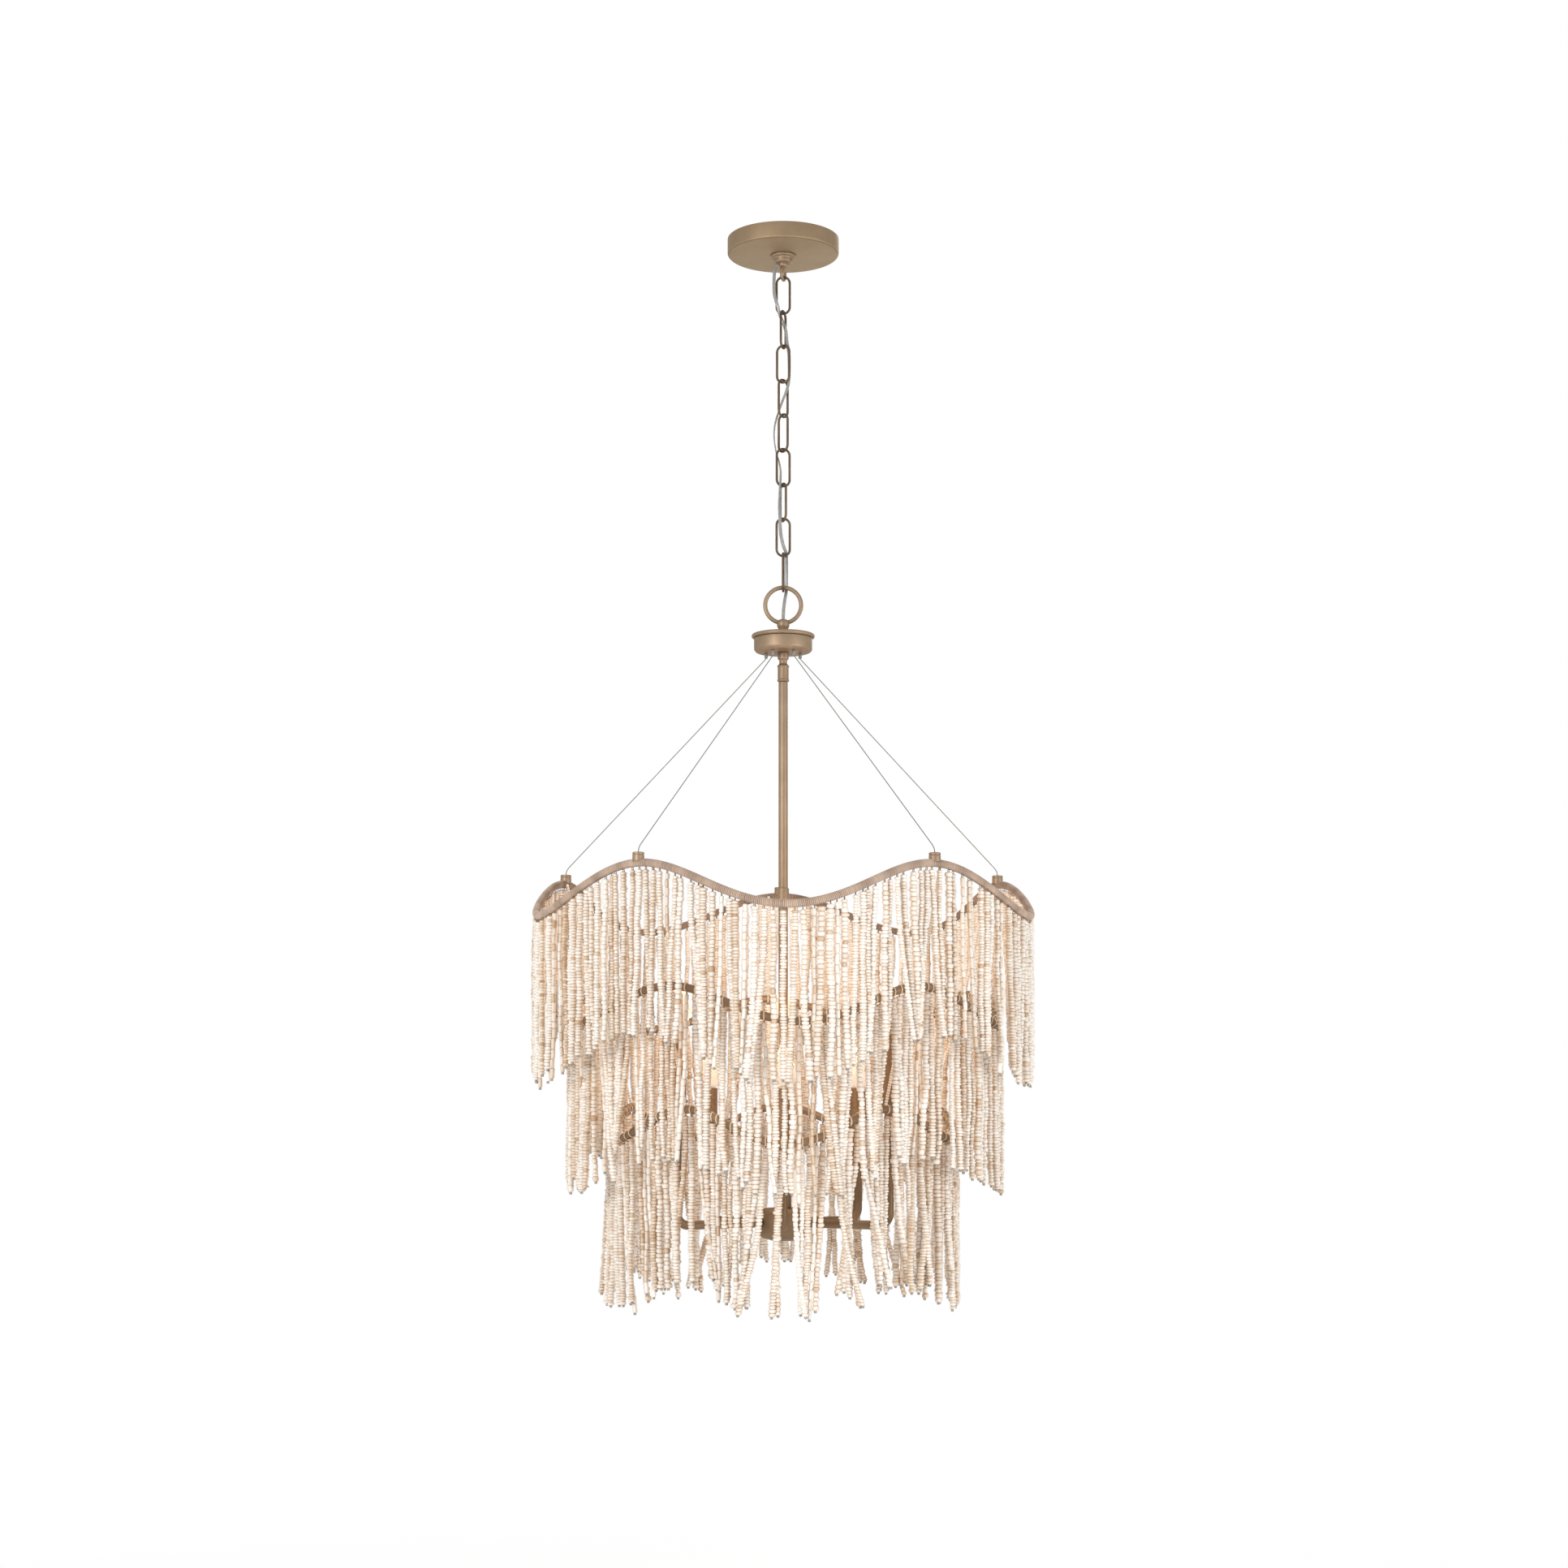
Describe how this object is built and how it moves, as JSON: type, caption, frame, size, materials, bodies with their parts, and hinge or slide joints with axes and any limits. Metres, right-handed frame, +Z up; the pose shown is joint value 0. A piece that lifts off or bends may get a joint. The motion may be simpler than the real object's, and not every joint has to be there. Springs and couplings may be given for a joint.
{
  "type": "beaded chandelier",
  "caption": "Hanging light: round canopy, chain of open links, hub with steel cables to wavy rings in tiers, dense bead strands below each ring, candle lamps on bent arms inside.",
  "frame": {"origin": "centre of the ceiling plane, on top of the canopy and its mounting bar", "axes": "+Z up towards the ceiling along the hanging axis; the viewer of the picture stands at -Y, below the lamp; +X is to the viewer's right"},
  "size_m": [0.6072, 0.6035, 1.3286],
  "materials": {
    "metal": "satin champagne gold",
    "dark_metal": "satin bronze",
    "zinc_steel": "zinc plated",
    "steel_cable": "twisted wire",
    "wrapped_cord": "wound cord over a metal ring",
    "beads": "satin, cream with some tan beads",
    "clear_cord": "clear over silver wire",
    "candle_card": "matte candle sleeve",
    "bulb_glass": "lit warm white bulb"
  },
  "bodies": {
    "canopy": {"mounting_bar": "zinc_steel", "canopy_nipple": "zinc_steel", "nipple_nut": "zinc_steel", "canopy_pan": "metal", "screw_collar": "metal", "canopy_loop": "metal", "lamp_cord": "clear_cord"},
    "link_1": {"chain_link_1": "metal"},
    "link_2": {"chain_link_2": "metal"},
    "link_3": {"chain_link_3": "metal"},
    "link_4": {"chain_link_4": "metal"},
    "link_5": {"chain_link_5": "metal"},
    "link_6": {"chain_link_6": "metal"},
    "link_7": {"chain_link_7": "metal"},
    "link_8": {"chain_link_8": "metal"},
    "link_9": {"chain_link_9": "metal"},
    "fixture": {"hanging_ring": "metal", "ring_knob": "metal", "hub_lid": "metal", "hub_cup": "metal", "stem_coupling": "metal", "upper_stem": "metal", "stem_coupler": "metal", "lower_stem": "metal", "cable_cap_1": "metal", "cable_cap_2": "metal", "cable_cap_3": "metal", "cable_cap_4": "metal", "cable_cap_5": "metal", "column_sleeve": "dark_metal", "middle_ring": "dark_metal", "bottom_ring": "dark_metal", "cluster_body": "dark_metal", "lamp_arm_1": "dark_metal", "lamp_arm_2": "dark_metal", "lamp_arm_3": "dark_metal", "lamp_arm_4": "dark_metal", "lamp_arm_5": "dark_metal", "lamp_arm_6": "dark_metal", "suspension_cable_1": "steel_cable", "suspension_cable_2": "steel_cable", "suspension_cable_3": "steel_cable", "suspension_cable_4": "steel_cable", "suspension_cable_5": "steel_cable", "top_ring": "wrapped_cord", "top_strands": "beads", "middle_strands": "beads", "bottom_strands": "beads", "candle_sleeve_1": "candle_card", "candle_sleeve_2": "candle_card", "candle_sleeve_3": "candle_card", "candle_sleeve_4": "candle_card", "candle_sleeve_5": "candle_card", "candle_sleeve_6": "candle_card", "bulb_1": "bulb_glass", "bulb_2": "bulb_glass", "bulb_3": "bulb_glass", "bulb_4": "bulb_glass", "bulb_5": "bulb_glass", "bulb_6": "bulb_glass"}
  },
  "joints": [
    {"name": "loop_hinge", "type": "hinge", "parent": "canopy", "child": "link_1", "pos_m": [0, 0, -0.05295], "axis": [0.342, 0.9397, 0], "range_deg": [-12, 12], "deforming": ["lamp_cord"]},
    {"name": "chain_hinge_1", "type": "hinge", "parent": "link_1", "child": "link_2", "pos_m": [0, 0, -0.0969], "axis": [0.9962, -0.0872, 0], "range_deg": [-12, 12], "deforming": ["lamp_cord"]},
    {"name": "chain_hinge_2", "type": "hinge", "parent": "link_2", "child": "link_3", "pos_m": [0, 0, -0.1414], "axis": [0.3584, 0.9336, 0], "range_deg": [-12, 12], "deforming": ["lamp_cord"]},
    {"name": "chain_hinge_3", "type": "hinge", "parent": "link_3", "child": "link_4", "pos_m": [0, 0, -0.1859], "axis": [0.9336, -0.3584, 0], "range_deg": [-12, 12], "deforming": ["lamp_cord"]},
    {"name": "chain_hinge_4", "type": "hinge", "parent": "link_4", "child": "link_5", "pos_m": [0, 0, -0.2304], "axis": [0.6691, 0.7431, 0], "range_deg": [-12, 12], "deforming": ["lamp_cord"]},
    {"name": "chain_hinge_5", "type": "hinge", "parent": "link_5", "child": "link_6", "pos_m": [0, 0, -0.2749], "axis": [0.6691, -0.7431, 0], "range_deg": [-12, 12], "deforming": ["lamp_cord"]},
    {"name": "chain_hinge_6", "type": "hinge", "parent": "link_6", "child": "link_7", "pos_m": [0, 0, -0.3194], "axis": [0.9659, 0.2588, 0], "range_deg": [-12, 12], "deforming": ["lamp_cord"]},
    {"name": "chain_hinge_7", "type": "hinge", "parent": "link_7", "child": "link_8", "pos_m": [0, 0, -0.3639], "axis": [0.4067, -0.9135, 0], "range_deg": [-12, 12], "deforming": ["lamp_cord"]},
    {"name": "chain_hinge_8", "type": "hinge", "parent": "link_8", "child": "link_9", "pos_m": [0, 0, -0.4084], "axis": [0.9903, 0.1392, 0], "range_deg": [-12, 12], "deforming": ["lamp_cord"]},
    {"name": "ring_hinge", "type": "hinge", "parent": "link_9", "child": "fixture", "pos_m": [0, 0, -0.4529], "axis": [0.0349, 0.9994, 0], "range_deg": [-12, 12], "deforming": ["lamp_cord"]}
  ]
}
